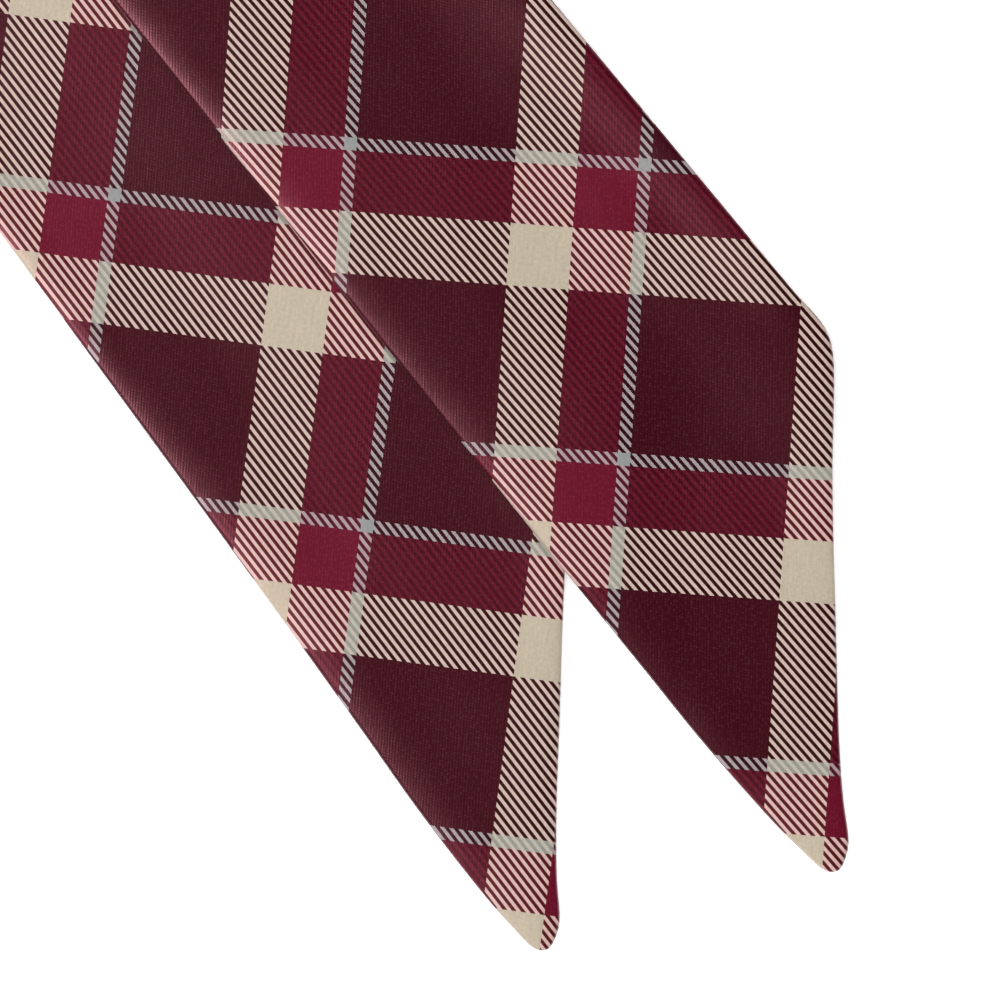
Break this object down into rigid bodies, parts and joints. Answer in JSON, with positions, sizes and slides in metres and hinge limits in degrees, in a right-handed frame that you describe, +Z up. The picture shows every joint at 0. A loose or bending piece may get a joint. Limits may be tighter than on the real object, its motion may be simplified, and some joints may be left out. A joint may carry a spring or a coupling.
{
  "type": "hair scarf",
  "caption": "Long narrow hair scarf of printed plaid cloth with slanted, pointed tails, sewn double and turned, folded across its middle and laid flat with both tails showing.",
  "frame": {"origin": "on the surface that the scarf lies on, below the middle of the folded scarf", "axes": "+X along the lower tail to its point, +Y from the lower tail towards the upper one, +Z up"},
  "size_m": [0.608, 0.0858, 0.008],
  "materials": {
    "front_cloth": "light woven polyester with a faint sheen, printed all over with a burgundy, crimson, cream and blue-grey plaid",
    "back_cloth": "the same printed cloth as the front"
  },
  "bodies": {
    "root": {"front_upper_tail": "front_cloth", "front_fold": "front_cloth", "front_lower_tail": "front_cloth", "back_upper_tail": "back_cloth", "back_fold": "back_cloth", "back_lower_tail": "back_cloth"}
  },
  "joints": []
}
